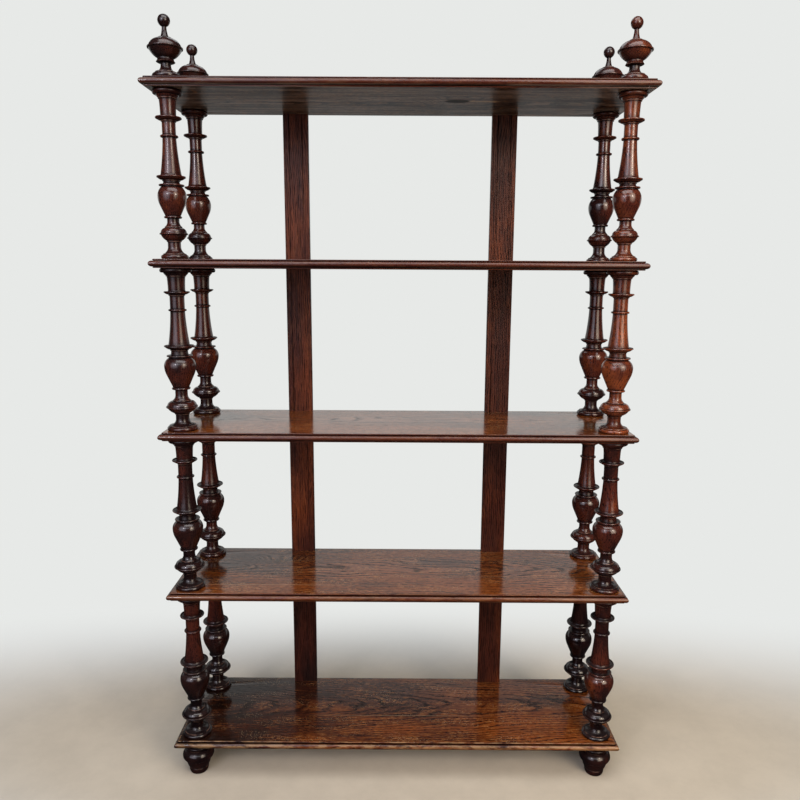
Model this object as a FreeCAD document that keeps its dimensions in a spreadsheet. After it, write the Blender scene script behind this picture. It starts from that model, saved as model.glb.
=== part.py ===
import FreeCAD, Part
import math
import os
from types import SimpleNamespace

import Sketcher

# An open bookcase in oak: five moulded shelves on four posts of stacked turnings,
# with finials above, bun feet below and two upright battens let into the back edges.
# The origin is on the floor, midway between the ends and between the front and the back.
# X runs along the shelves, Y from the front to the back, Z up.

driving = {
    # Shelves, measured over the moulding, and the members of the moulding from below.
    "shelf_width": 1100,
    "shelf_depth": 296,
    "edge_under_step": 3,
    "edge_bead": 13,
    "edge_top_step": 4,
    "edge_quirk": 1.5,
    # Post axes, from the front and end noses and from the back edge.
    "post_inset": 47,
    "post_back_inset": 39.5,
    # Turned joints through the shelves.
    "tenon_radius": 10,
    "tenon_engagement": 22,
    "finial_engagement": 12,
    "joint_clearance": 0.25,
    "socket_end_gap": 2,
    # Small members that every turning shares.
    "fillet_height": 2.5,
    "fillet_step": 2,
    "rim_edge": 3,
    # Clear heights, which the shafts of the spindles and the necks of the feet make up.
    "lower_bay_height": 371,
    "upper_bay_height": 358,
    "foot_height": 84.5,
    # Spindles of the three lower bays, from the foot up.
    "lower_base_radius": 35.2,
    "lower_base_bead": 9,
    "lower_base_hollow": 15,
    "lower_neck_wall": 5,
    "lower_neck_height": 10.5,
    "lower_knop_radius": 35.2,
    "lower_knop_under": 13.5,
    "lower_knop_over": 12,
    "lower_throat_radius": 14,
    "lower_throat_hollow": 12,
    "lower_throat_height": 12.5,
    "lower_urn_bead_radius": 21,
    "lower_urn_bead": 5,
    "lower_urn_foot_radius": 18,
    "lower_urn_cone": 30,
    "lower_urn_cone_radius": 31.2,
    "lower_urn_belly": 20.5,
    "lower_urn_radius": 35.6,
    "lower_urn_shoulder": 18.5,
    "lower_rim_radius": 28.5,
    "lower_waist_radius": 18.7,
    "lower_waist_height": 11,
    "lower_collar_radius": 33.2,
    "lower_collar_under": 6,
    "lower_collar_over": 5,
    "lower_shaft_foot_radius": 23.2,
    "lower_shaft_head_radius": 16.4,
    "lower_bead_radius": 20.4,
    "lower_bead": 4.5,
    "lower_head_height": 30,
    "lower_ring_radius": 28.2,
    "lower_ring_under": 4.2,
    "lower_ring_over": 3.5,
    "lower_bell_radius": 19,
    "lower_bell_height": 29.8,
    "lower_bell_head_radius": 20.5,
    "lower_cap_tier": 6,
    "lower_cap_tier_radius": 27.5,
    "lower_cap_bead": 10,
    "lower_cap_radius": 35.5,
    # Spindles of the top bay, a little shorter and slimmer.
    "upper_base_radius": 30.2,
    "upper_base_bead": 9,
    "upper_base_hollow": 15,
    "upper_neck_wall": 4.1,
    "upper_neck_height": 11,
    "upper_knop_radius": 30.4,
    "upper_knop_under": 13.4,
    "upper_knop_over": 11,
    "upper_throat_radius": 13.4,
    "upper_throat_hollow": 11,
    "upper_throat_height": 7.8,
    "upper_urn_bead_radius": 19.5,
    "upper_urn_bead": 4.5,
    "upper_urn_foot_radius": 16.5,
    "upper_urn_cone": 24,
    "upper_urn_cone_radius": 27.4,
    "upper_urn_belly": 18.3,
    "upper_urn_radius": 31.2,
    "upper_urn_shoulder": 19.9,
    "upper_rim_radius": 27,
    "upper_waist_radius": 17.5,
    "upper_waist_height": 7.1,
    "upper_collar_radius": 30.9,
    "upper_collar_under": 5.1,
    "upper_collar_over": 6,
    "upper_shaft_foot_radius": 22,
    "upper_shaft_head_radius": 14.7,
    "upper_bead_radius": 19.5,
    "upper_bead": 4.5,
    "upper_head_height": 28.4,
    "upper_ring_radius": 27.6,
    "upper_ring_under": 3.7,
    "upper_ring_over": 3.5,
    "upper_bell_radius": 16.8,
    "upper_bell_height": 33.9,
    "upper_bell_head_radius": 18.4,
    "upper_cap_tier": 6,
    "upper_cap_tier_radius": 24.8,
    "upper_cap_bead": 10,
    "upper_cap_radius": 32,
    # Finials, from the top shelf up.
    "finial_base_radius": 30,
    "finial_base_bead": 13,
    "finial_hollow": 13.5,
    "finial_neck_radius": 11,
    "finial_neck_height": 5,
    "finial_collar_radius": 20.3,
    "finial_collar_height": 7.5,
    "finial_bowl_foot_radius": 17,
    "finial_bowl_height": 19,
    "finial_rim_radius": 37,
    "finial_dome_height": 17,
    "finial_ledge_radius": 16.5,
    "finial_stem_foot_radius": 9.2,
    "finial_stem_height": 22,
    "finial_stem_head_radius": 5,
    "finial_ball_radius": 13.2,
    # Feet, from the floor up.
    "foot_pad_radius": 21,
    "foot_pad_head_radius": 23.5,
    "foot_pad_height": 14,
    "foot_groove_radius": 22,
    "foot_toe_radius": 25,
    "foot_toe_head_radius": 29.4,
    "foot_bun_low_radius": 30.5,
    "foot_bun_radius": 38.6,
    "foot_bun_under": 9.5,
    "foot_bun_over": 18,
    "foot_bun_end_radius": 27,
    "foot_neck_radius": 24,
    "foot_neck_height": 3.5,
    "foot_ring_radius": 30,
    "foot_ring_height": 7,
    "foot_plate_radius": 33,
    "foot_plate_height": 7,
    # Back battens and the screws that hold them.
    "batten_width": 62,
    "batten_thickness": 16,
    "batten_spacing": 520,
    "batten_side_clearance": 0.3,
    "batten_end_gap": 0.5,
    "housing_floor": 8,
    "screw_spacing": 32,
    "screw_shank_radius": 2.1,
    "screw_head_radius": 4.1,
    "screw_head_rim": 0.4,
    "screw_length": 38,
    "screw_point": 7,
    "screw_recess": 0.3,
    "screw_clearance": 0.1,
    "screw_slot_width": 1,
    "screw_slot_depth": 1.1,
}

# Round stretches are given by their swell, the tangent of a quarter of the arc.
# A swelling stretch is positive and a hollow one negative.
half_round = 1
rim_swell = 0.4
dome_swell = 0.3
easy_swell = 0.18
faint_hollow = -0.03
countersink_angle = 90

doc = FreeCAD.newDocument("bookcase")
sheet = doc.addObject("Spreadsheet::Sheet", "Sizes")
for row, (name, number) in enumerate(driving.items(), start=1):
    sheet.set(f"A{row}", name)
    sheet.set(f"B{row}", str(number))
    sheet.setAlias(f"B{row}", name)
doc.recompute()


class Size:
    # A length in millimetres, kept with the expression that drives it.
    def __init__(self, text, value):
        self.text = text
        self.value = value

    def __add__(self, other):
        return Size(f"{self.text} + {other.text}", self.value + other.value)

    def __sub__(self, other):
        return Size(f"{self.text} - ({other.text})", self.value - other.value)

    def __mul__(self, factor):
        return Size(f"({self.text}) * {factor}", self.value * factor)

    def __truediv__(self, factor):
        return Size(f"({self.text}) / {factor}", self.value / factor)

    def __neg__(self):
        return Size(f"-({self.text})", -self.value)


size = SimpleNamespace(**{name: Size(f"Sizes.{name}", float(sheet.get(name))) for name in driving})
nothing = Size("0", 0)


def leg(longest, other):
    # The third side of a right triangle.
    text = f"sqrt(({longest.text}) ^ 2 - ({other.text}) ^ 2)"
    return Size(text, math.sqrt(longest.value ** 2 - other.value ** 2))


# Sketches

class Draft:
    # Gathers the lines of a sketch and the rules that hold them, and adds them in one go.
    def __init__(self, body, name, role, offset=None):
        self.sketch = body.newObject("Sketcher::SketchObject", f"{body.Name}_{name}")
        plane = next(feature for feature in body.Origin.OriginFeatures if feature.Role == role)
        self.sketch.AttachmentSupport = [(plane, "")]
        self.sketch.MapMode = "FlatFace"
        if offset is not None:
            self.sketch.setExpression("AttachmentOffset.Base.z", offset.text)
        self.lines = []
        self.rules = []
        self.driven = []

    def drive(self, kind, point, target, start=(-1, 1)):
        # Holds a point at a driven distance, across or up, from the origin or another point.
        if target.value != 0:
            self.driven.append((len(self.rules), target.text))
            self.rules.append(Sketcher.Constraint(kind, *start, *point, target.value))
        elif kind == "DistanceX":
            self.rules.append(Sketcher.Constraint("PointOnObject", *point, -2))
        else:
            self.rules.append(Sketcher.Constraint("Horizontal", *start, *point))

    def outline(self, corners):
        # Draws a closed outline. Each corner is its distance across from the origin, its rise
        # above the corner before it, and the swell of the stretch that follows it.
        first = len(self.lines)
        points = []
        level = 0
        for across, rise, swell in corners:
            level += rise.value
            points.append(FreeCAD.Vector(across.value, level, 0))
        ends = [(2, 1) if swell < 0 else (1, 2) for across, rise, swell in corners]
        for index, (across, rise, swell) in enumerate(corners):
            following = (index + 1) % len(corners)
            here = (first + index, ends[index][0])
            before = (first + index - 1, ends[index - 1][0]) if index else (-1, 1)
            self.lines.append(stretch(points[index], points[following], swell))
            self.rules.append(Sketcher.Constraint("Coincident", first + index, ends[index][1],
                                                  first + following, ends[following][0]))
            self.drive("DistanceX", here, across)
            self.drive("DistanceY", here, rise, before)
            if swell:
                next_across, next_rise, next_swell = corners[following]
                lead = centre_lead(swell)
                if abs(next_rise.value) >= abs(next_across.value - across.value):
                    middle = (across + next_across) / 2 - next_rise * lead
                    self.drive("DistanceX", (first + index, 3), middle)
                else:
                    middle = next_rise / 2 + (next_across - across) * lead
                    self.drive("DistanceY", (first + index, 3), middle, here)

    def rounds(self, radius, centres):
        # Draws one circle of the given radius at each centre.
        for across, up in centres:
            middle = FreeCAD.Vector(across.value, up.value, 0)
            self.lines.append(Part.Circle(middle, FreeCAD.Vector(0, 0, 1), radius.value))
            line = len(self.lines) - 1
            self.drive("DistanceX", (line, 3), across)
            self.drive("DistanceY", (line, 3), up)
            self.driven.append((len(self.rules), radius.text))
            self.rules.append(Sketcher.Constraint("Radius", line, radius.value))

    def finish(self):
        self.sketch.addGeometry(self.lines)
        self.sketch.addConstraint(self.rules)
        for index, text in self.driven:
            self.sketch.setExpression(f"Constraints[{index}]", text)
        return self.sketch


def centre_lead(swell):
    # How far an arc's centre lies from its chord, as a share of the chord.
    return (1 - swell * swell) / (4 * swell)


def stretch(here, there, swell):
    # The straight line or the arc between two points.
    if swell == 0:
        return Part.LineSegment(here, there)
    chord = there - here
    middle = (here + there) / 2 + FreeCAD.Vector(-chord.y, chord.x, 0) * centre_lead(swell)
    circle = Part.Circle(middle, FreeCAD.Vector(0, 0, 1), (here - middle).Length)
    ends = (here, there) if swell > 0 else (there, here)
    start, stop = [math.atan2(point.y - middle.y, point.x - middle.x) for point in ends]
    return Part.ArcOfCircle(circle, start, stop if stop > start else stop + 2 * math.pi)


def box_outline(left, right, near, far):
    return [(left, near, 0), (right, nothing, 0), (right, far - near, 0), (left, nothing, 0)]


# Features

def new_body(label):
    body = doc.addObject("PartDesign::Body", label)
    body.Label = label
    return body


def place(thing, across, back, up):
    for axis, distance in zip("xyz", (across, back, up)):
        thing.setExpression(f"Placement.Base.{axis}", distance.text)


def pad(body, sketch, length, reverse=False):
    feature = body.newObject("PartDesign::Pad", f"{sketch.Name}_pad")
    feature.Profile = sketch
    feature.Reversed = reverse
    feature.setExpression("Length", length.text)


def revolve(body, sketch):
    feature = body.newObject("PartDesign::Revolution", f"{sketch.Name}_turned")
    feature.Profile = sketch
    feature.ReferenceAxis = (sketch, ["V_Axis"])
    feature.Angle = 360


def cut(body, sketch, kind, settings):
    # Adds a cutting feature and makes sure that it takes wood away.
    doc.recompute()
    before = body.Shape.Volume
    feature = body.newObject(f"PartDesign::{kind}", f"{sketch.Name}_{kind.lower()}")
    feature.Profile = sketch
    settings(feature)
    doc.recompute()
    if body.Shape.Volume >= before:
        raise RuntimeError(f"{feature.Name} removes nothing")


def cut_through(body, sketch):
    def settings(feature):
        feature.SideType = "Symmetric"
        feature.Type = "ThroughAll"
    cut(body, sketch, "Pocket", settings)


def cut_to(body, sketch, depth, reverse=False):
    def settings(feature):
        feature.Reversed = reverse
        feature.setExpression("Length", depth.text)
    cut(body, sketch, "Pocket", settings)


def copy_of(pattern, label, across, back, up, rotation=FreeCAD.Rotation()):
    copy = doc.addObject("App::Link", label)
    copy.Label = label
    copy.LinkedObject = pattern
    copy.Placement.Rotation = rotation
    place(copy, across, back, up)
    return copy


# Sizes that several pieces share

shelf_thickness = size.edge_under_step + size.edge_bead + size.edge_top_step
socket_radius = size.tenon_radius + size.joint_clearance
through_tenon = shelf_thickness + size.tenon_engagement
post_across = size.shelf_width / 2 - size.post_inset
post_front = size.post_inset - size.shelf_depth / 2
post_back = size.shelf_depth / 2 - size.post_back_inset
posts = {
    "front_left": (-post_across, post_front),
    "front_right": (post_across, post_front),
    "back_left": (-post_across, post_back),
    "back_right": (post_across, post_back),
}


# Turned pieces


class Lathe:
    # Follows the outside of a turning from its foot up, one member after another.
    # A bored turning starts on the axis at the head of its bore.
    def __init__(self, radius, bore=None):
        self.radius = radius
        if bore is None:
            self.corners = [(nothing, nothing, 0)]
            self.rise_due = nothing
        else:
            self.corners = [(nothing, bore, 0), (radius, nothing, 0)]
            self.rise_due = -bore
        self.height = nothing

    def sweep(self, radius, height, swell=0):
        self.corners.append((self.radius, self.rise_due, swell))
        self.radius = radius
        self.rise_due = height
        self.height = self.height + height

    def step(self, radius):
        self.sweep(radius, nothing)

    def rise(self, height, swell=0):
        self.sweep(self.radius, height, swell)

    def swell_to(self, radius, height):
        # A round stretch that stands upright where it is widest.
        self.sweep(radius, height, self.upright(radius, height))

    def hollow_to(self, radius, height):
        # A hollow that stands upright where it is narrowest.
        self.sweep(radius, height, -self.upright(radius, height))

    def upright(self, radius, height):
        return math.tan(math.atan2(abs(radius.value - self.radius.value), height.value) / 2)

    def fillet(self, radius):
        # A narrow flat band.
        self.step(radius)
        self.rise(size.fillet_height)

    def rim(self, radius):
        # A narrow rounded edge.
        self.step(radius)
        self.rise(size.rim_edge, rim_swell)

    def close(self):
        self.corners.append((nothing, self.rise_due, 0))

    def tenon(self, length):
        # The joint on the upper end, and the line back to the axis.
        self.step(size.tenon_radius)
        self.rise(length)
        self.step(nothing)
        self.close()


def fitted(members, whole):
    # Stacks the members of a turning, where the one left open takes up the rest of the height.
    return members(whole - members(nothing).height)


def turn(label, lathe):
    body = new_body(label)
    profile = Draft(body, "profile", "XZ_Plane")
    profile.outline(lathe.corners)
    revolve(body, profile.finish())
    return body


def spindle_members(part, shaft_height):
    neck_radius = socket_radius + part.neck_wall
    lathe = Lathe(socket_radius, size.tenon_engagement + size.socket_end_gap)
    # Base: a half round, a fillet and a hollow up to the neck.
    base_inner = part.base_radius - part.base_bead / 2
    lathe.step(base_inner)
    lathe.rise(part.base_bead, half_round)
    lathe.rise(size.fillet_height)
    lathe.step(base_inner - size.fillet_step)
    lathe.hollow_to(neck_radius, part.base_hollow)
    lathe.rise(part.neck_height)
    # Knop: a flattened ball with a narrow rim round its middle.
    lathe.fillet(neck_radius + size.fillet_step)
    lathe.sweep(part.knop_radius - size.fillet_step, part.knop_under, easy_swell)
    lathe.rim(part.knop_radius)
    lathe.step(part.knop_radius - size.fillet_step)
    lathe.swell_to(part.throat_radius + size.fillet_step * 4, part.knop_over)
    lathe.fillet(part.throat_radius + size.fillet_step * 3)
    # Throat and urn.
    lathe.hollow_to(part.throat_radius, part.throat_hollow)
    lathe.rise(part.throat_height)
    lathe.step(part.urn_bead_radius - part.urn_bead / 2)
    lathe.rise(part.urn_bead, half_round)
    lathe.step(part.urn_foot_radius)
    lathe.sweep(part.urn_cone_radius, part.urn_cone)
    lathe.swell_to(part.urn_radius, part.urn_belly)
    lathe.swell_to(part.rim_radius - size.fillet_step * 2, part.urn_shoulder)
    lathe.rise(size.fillet_height)
    lathe.rim(part.rim_radius)
    # Waist and collar.
    lathe.step(part.waist_radius + size.fillet_step)
    lathe.hollow_to(part.waist_radius, part.waist_height)
    lathe.fillet(part.waist_radius + size.fillet_step)
    lathe.sweep(part.collar_radius - size.fillet_step / 2, part.collar_under, easy_swell)
    lathe.rim(part.collar_radius)
    lathe.hollow_to(part.shaft_foot_radius, part.collar_over)
    # Shaft, with a bead below its head and a ring above it.
    lathe.sweep(part.shaft_head_radius, shaft_height, faint_hollow)
    lathe.step(part.bead_radius - part.bead / 2)
    lathe.rise(part.bead, half_round)
    lathe.step(part.shaft_head_radius)
    lathe.rise(part.head_height)
    lathe.fillet(part.shaft_head_radius + size.fillet_step)
    lathe.sweep(part.ring_radius - size.fillet_step / 2, part.ring_under, easy_swell)
    lathe.rim(part.ring_radius)
    lathe.hollow_to(part.bell_radius, part.ring_over)
    # Bell and cap.
    lathe.hollow_to(part.bell_head_radius, part.bell_height)
    lathe.fillet(part.bell_head_radius + size.fillet_step)
    lathe.sweep(part.cap_tier_radius, part.cap_tier, easy_swell)
    lathe.step(part.cap_radius - part.cap_bead / 2)
    lathe.rise(part.cap_bead, half_round)
    return lathe


def make_spindle(label, kind, tenon):
    sizes_of_kind = {name.removeprefix(kind): value for name, value in vars(size).items()
                     if name.startswith(kind)}
    part = SimpleNamespace(**sizes_of_kind)
    lathe = fitted(lambda shaft_height: spindle_members(part, shaft_height), part.bay_height)
    lathe.tenon(tenon)
    return turn(label, lathe)


def make_finial(label):
    lathe = Lathe(socket_radius, size.finial_engagement + size.socket_end_gap)
    base_inner = size.finial_base_radius - size.finial_base_bead / 2
    lathe.step(base_inner)
    lathe.rise(size.finial_base_bead, half_round)
    lathe.rise(size.fillet_height)
    lathe.step(base_inner - size.fillet_step)
    lathe.hollow_to(size.finial_neck_radius, size.finial_hollow)
    lathe.rise(size.finial_neck_height)
    # Collar and bowl, with a narrow rim under the dome.
    lathe.sweep(size.finial_collar_radius, size.fillet_height, easy_swell)
    lathe.hollow_to(size.finial_bowl_foot_radius, size.finial_collar_height)
    lathe.sweep(size.finial_rim_radius - size.fillet_step, size.finial_bowl_height, easy_swell)
    lathe.rim(size.finial_rim_radius)
    lathe.step(size.finial_rim_radius - size.fillet_step)
    lathe.sweep(size.finial_ledge_radius, size.finial_dome_height, dome_swell)
    lathe.fillet(size.finial_ledge_radius - size.fillet_step)
    # Stem, and a ball that springs from its head.
    lathe.step(size.finial_stem_foot_radius)
    lathe.hollow_to(size.finial_stem_head_radius, size.finial_stem_height)
    springing = leg(size.finial_ball_radius, size.finial_stem_head_radius)
    lathe.swell_to(size.finial_ball_radius, springing)
    lathe.swell_to(nothing, size.finial_ball_radius)
    lathe.close()
    return turn(label, lathe)


def foot_members(toe_height):
    # Pad and tapered toe, parted by a groove.
    lathe = Lathe(size.foot_pad_radius)
    lathe.sweep(size.foot_pad_head_radius, size.foot_pad_height, easy_swell)
    lathe.fillet(size.foot_groove_radius)
    lathe.step(size.foot_toe_radius)
    lathe.sweep(size.foot_toe_head_radius, toe_height, easy_swell)
    # Bun, a ring above it, and the plate under the shelf.
    lathe.step(size.foot_bun_low_radius)
    lathe.swell_to(size.foot_bun_radius, size.foot_bun_under)
    lathe.swell_to(size.foot_bun_end_radius, size.foot_bun_over)
    lathe.fillet(size.foot_neck_radius)
    lathe.step(size.foot_ring_radius - size.foot_ring_height / 2)
    lathe.rise(size.foot_ring_height, half_round)
    lathe.step(size.foot_neck_radius)
    lathe.rise(size.foot_neck_height)
    lathe.step(size.foot_plate_radius - size.foot_plate_height / 2)
    lathe.rise(size.foot_plate_height, half_round)
    return lathe


def make_foot(label):
    lathe = fitted(foot_members, size.foot_height)
    lathe.tenon(through_tenon)
    return turn(label, lathe)


foot = make_foot("pattern_foot")
lower_spindle = make_spindle("pattern_lower_spindle", "lower_", through_tenon)
upper_spindle = make_spindle("pattern_upper_spindle", "upper_", shelf_thickness + size.finial_engagement)
finial = make_finial("pattern_finial")

bays = [(lower_spindle, size.lower_bay_height)] * 3 + [(upper_spindle, size.upper_bay_height)]
shelf_levels = [size.foot_height]
for spindle, bay_height in bays:
    shelf_levels.append(shelf_levels[-1] + shelf_thickness + bay_height)

pieces = []
for corner, (across, back) in posts.items():
    pieces.append(copy_of(foot, f"foot_{corner}", across, back, nothing))
    for bay, (spindle, bay_height) in enumerate(bays):
        label = f"spindle_{corner}_tier_{bay + 1}"
        pieces.append(copy_of(spindle, label, across, back, shelf_levels[bay] + shelf_thickness))
    pieces.append(copy_of(finial, f"finial_{corner}", across, back, shelf_levels[-1] + shelf_thickness))


# Shelves, with the places where the battens cross them

saw_allowance = size.edge_bead / 2
housing_depth = shelf_thickness - size.housing_floor
edge_setback = size.edge_bead / 2 + size.edge_quirk
shelf_back = size.shelf_depth / 2
notch_floor = shelf_back - size.batten_thickness
batten_across = size.batten_spacing / 2
batten_centres = [-batten_across, batten_across]
screw_offsets = [-(size.screw_spacing / 2), size.screw_spacing / 2]
pilot_radius = size.screw_shank_radius + size.screw_clearance
pilot_depth = size.screw_length + size.screw_recess - size.batten_thickness + size.socket_end_gap
bottom_level, lower_level, middle_level, upper_level, top_level = shelf_levels
shelves = {
    "bottom_shelf": (bottom_level, "from_above", shelf_thickness - housing_depth / 2),
    "lower_shelf": (lower_level, "through", shelf_thickness / 2),
    "middle_shelf": (middle_level, "through", shelf_thickness / 2),
    "upper_shelf": (upper_level, "through", shelf_thickness / 2),
    "top_shelf": (top_level, "from_below", housing_depth / 2),
}


def shelf_section():
    # Across the shelf: the moulded edge at both ends.
    nose = size.shelf_width / 2 - size.edge_bead / 2
    arris = size.shelf_width / 2 - edge_setback
    return [
        (arris, nothing, 0), (arris, size.edge_under_step, 0), (nose, nothing, half_round),
        (nose, size.edge_bead, 0), (arris, nothing, 0), (arris, size.edge_top_step, 0),
        (-arris, nothing, 0), (-arris, -size.edge_top_step, 0), (-nose, nothing, half_round),
        (-nose, -size.edge_bead, 0), (-arris, nothing, 0), (-arris, -size.edge_under_step, 0),
    ]


def front_cutter():
    # What the moulding plane takes off the front of the sawn board.
    front = -(size.shelf_depth / 2)
    nose = front + size.edge_bead / 2
    arris = front + edge_setback
    clear = front - saw_allowance * 2
    return [
        (clear, -saw_allowance, 0), (arris, nothing, 0),
        (arris, saw_allowance + size.edge_under_step, 0), (nose, nothing, -half_round),
        (nose, size.edge_bead, 0), (arris, nothing, 0),
        (arris, size.edge_top_step + saw_allowance, 0), (clear, nothing, 0),
    ]


def make_shelf(label, level, housing, screw_level):
    body = new_body(label)
    board = Draft(body, "section", "XZ_Plane", -shelf_back)
    board.outline(shelf_section())
    pad(body, board.finish(), size.shelf_depth + saw_allowance)
    front = Draft(body, "front", "YZ_Plane")
    front.outline(front_cutter())
    cut_through(body, front.finish())
    holes = Draft(body, "post_holes", "XY_Plane")
    holes.rounds(socket_radius, posts.values())
    cut_through(body, holes.finish())
    notches = Draft(body, "notches", "XY_Plane", shelf_thickness if housing == "from_above" else None)
    half_notch = size.batten_width / 2 + size.batten_side_clearance
    for centre in batten_centres:
        notches.outline(box_outline(centre - half_notch, centre + half_notch,
                                    notch_floor, shelf_back + saw_allowance))
    if housing == "through":
        cut_through(body, notches.finish())
    else:
        cut_to(body, notches.finish(), housing_depth, housing == "from_below")
    pilots = Draft(body, "pilots", "XZ_Plane", -notch_floor)
    pilots.rounds(pilot_radius, [(centre + offset, screw_level)
                                 for centre in batten_centres for offset in screw_offsets])
    cut_to(body, pilots.finish(), pilot_depth, True)
    place(body, nothing, nothing, level)
    return body


for label, (level, housing, screw_level) in shelves.items():
    pieces.append(make_shelf(label, level, housing, screw_level))


# Battens

batten_foot = bottom_level + size.housing_floor
batten_length = top_level + housing_depth - size.batten_end_gap - batten_foot
head_seat = size.screw_head_radius + size.screw_head_rim + size.screw_recess + size.screw_clearance


def countersink(feature):
    feature.Reversed = True
    feature.DepthType = "ThroughAll"
    feature.DrillPoint = "Flat"
    feature.HoleCutType = "Countersink"
    feature.HoleCutCountersinkAngle = countersink_angle
    feature.setExpression("Diameter", (pilot_radius * 2).text)
    feature.setExpression("HoleCutDiameter", (head_seat * 2).text)


def make_batten(label, across):
    body = new_body(label)
    half_width = size.batten_width / 2
    face = Draft(body, "face", "XZ_Plane")
    face.outline(box_outline(-half_width, half_width, nothing, batten_length))
    pad(body, face.finish(), size.batten_thickness, True)
    marks = Draft(body, "screw_marks", "XZ_Plane", -size.batten_thickness)
    marks.rounds(pilot_radius, [(offset, level + screw_level - batten_foot)
                                for level, housing, screw_level in shelves.values()
                                for offset in screw_offsets])
    cut(body, marks.finish(), "Hole", countersink)
    place(body, across, notch_floor, batten_foot)
    return body


pieces.append(make_batten("left_back_batten", -batten_across))
pieces.append(make_batten("right_back_batten", batten_across))


# Screws: one pattern screw, and a copy of it in every batten hole

def make_screw():
    # The head's face is at the origin and the point is below it.
    body = new_body("pattern_screw")
    cone_height = size.screw_head_radius - size.screw_shank_radius
    shank_height = size.screw_length - size.screw_point - cone_height - size.screw_head_rim
    profile = Draft(body, "profile", "XZ_Plane")
    profile.outline([
        (nothing, -size.screw_length, 0),
        (size.screw_shank_radius, size.screw_point, 0),
        (size.screw_shank_radius, shank_height, 0),
        (size.screw_head_radius, cone_height, 0),
        (size.screw_head_radius, size.screw_head_rim, 0),
        (nothing, nothing, 0),
    ])
    revolve(body, profile.finish())
    slot = Draft(body, "slot", "XY_Plane")
    slot.outline(box_outline(-(size.screw_head_radius * 2), size.screw_head_radius * 2,
                             -(size.screw_slot_width / 2), size.screw_slot_width / 2))
    cut_to(body, slot.finish(), size.screw_slot_depth)
    return body


screw = make_screw()
facing_back = FreeCAD.Rotation(FreeCAD.Vector(1, 0, 0), -90)
screw_copies = []
for level, housing, screw_level in shelves.values():
    for centre in batten_centres:
        for offset in screw_offsets:
            label = f"screw_{len(screw_copies) + 1}"
            screw_copies.append(copy_of(screw, label, centre + offset, shelf_back - size.screw_recess,
                                        level + screw_level, facing_back))
screws = doc.addObject("Part::Compound", "batten_screws")
screws.Label = "batten_screws"
screws.Links = screw_copies
pieces.append(screws)


# Checks, then one file per piece

doc.recompute()
for thing in doc.Objects:
    if "Invalid" in thing.State or "Error" in thing.State:
        raise RuntimeError(f"{thing.Label} failed: {thing.State}")
shapes = {piece.Label: Part.getShape(piece) for piece in pieces}
for label, shape in shapes.items():
    if shape.isNull() or not shape.isValid():
        raise RuntimeError(f"{label} has no valid shape")
os.makedirs("parts", exist_ok=True)
for label, shape in shapes.items():
    shape.exportStep(f"parts/{label}.step")
print(f"{len(shapes)} pieces, top shelf at {top_level.value:.1f} mm")
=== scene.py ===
import math
import random

import bmesh
import bpy
import numpy as np
from mathutils import Matrix, Vector, geometry, noise


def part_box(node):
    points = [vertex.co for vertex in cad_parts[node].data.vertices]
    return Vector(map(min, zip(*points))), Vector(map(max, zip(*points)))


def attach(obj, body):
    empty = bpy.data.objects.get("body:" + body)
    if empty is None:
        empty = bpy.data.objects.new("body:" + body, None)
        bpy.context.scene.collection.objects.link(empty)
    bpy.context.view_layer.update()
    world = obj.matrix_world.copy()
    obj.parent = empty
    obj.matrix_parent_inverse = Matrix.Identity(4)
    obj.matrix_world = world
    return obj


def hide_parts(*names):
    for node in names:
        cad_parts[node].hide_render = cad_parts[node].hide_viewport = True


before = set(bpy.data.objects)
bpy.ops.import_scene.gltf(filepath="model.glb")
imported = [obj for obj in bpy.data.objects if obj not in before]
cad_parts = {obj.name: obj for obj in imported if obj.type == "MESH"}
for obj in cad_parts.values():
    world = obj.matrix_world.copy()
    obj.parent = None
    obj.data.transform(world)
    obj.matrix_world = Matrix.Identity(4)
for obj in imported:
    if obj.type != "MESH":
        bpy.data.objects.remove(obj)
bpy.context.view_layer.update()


def addObject(name, data):
    made = bpy.data.objects.new(name, data)
    bpy.context.scene.collection.objects.link(made)
    return made


# shader graphs

pieceJump = (1.0, -0.7, 1.3)     # which way a piece's own chance number moves its pattern
plain = (1.0, 1.0, 1.0)          # a pattern that isn't stretched


def opaque(colour, level=1.0):
    return (*[level * part for part in colour], 1.0)


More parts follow.
